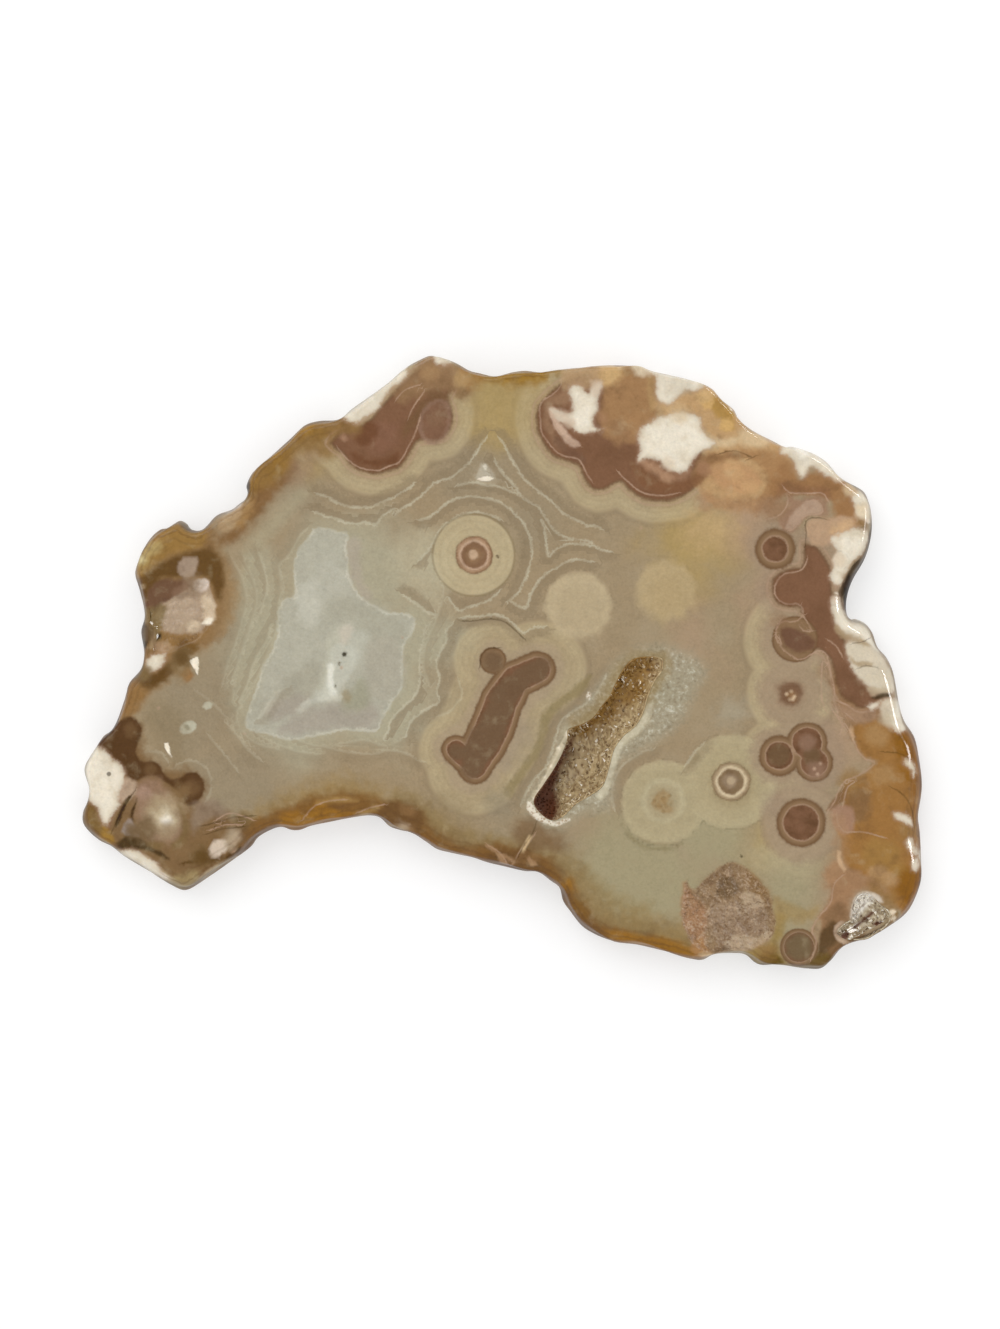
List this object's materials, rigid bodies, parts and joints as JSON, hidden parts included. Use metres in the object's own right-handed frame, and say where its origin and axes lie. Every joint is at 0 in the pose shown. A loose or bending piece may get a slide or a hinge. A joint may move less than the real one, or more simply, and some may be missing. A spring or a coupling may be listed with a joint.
{
  "type": "polished agate slab",
  "caption": "Flat slab of banded tube agate with a polished face, a rounded natural rind and an open hollow lined with quartz crystals.",
  "frame": {"origin": "centre of the slab's bounding box, on the underside that it rests on", "axes": "+X along the slab's length, to the right of the picture; +Y up in the picture, across the slab; +Z up out of the polished face"},
  "size_m": [0.12, 0.0876, 0.007],
  "materials": {
    "agate": "tumble-polished banded chalcedony, gloss",
    "druzy_quartz": "natural quartz crystals, sparkling"
  },
  "bodies": {
    "root": {"agate_slab": "agate", "vug_crystals": "druzy_quartz", "corner_crystals": "druzy_quartz"}
  },
  "joints": []
}
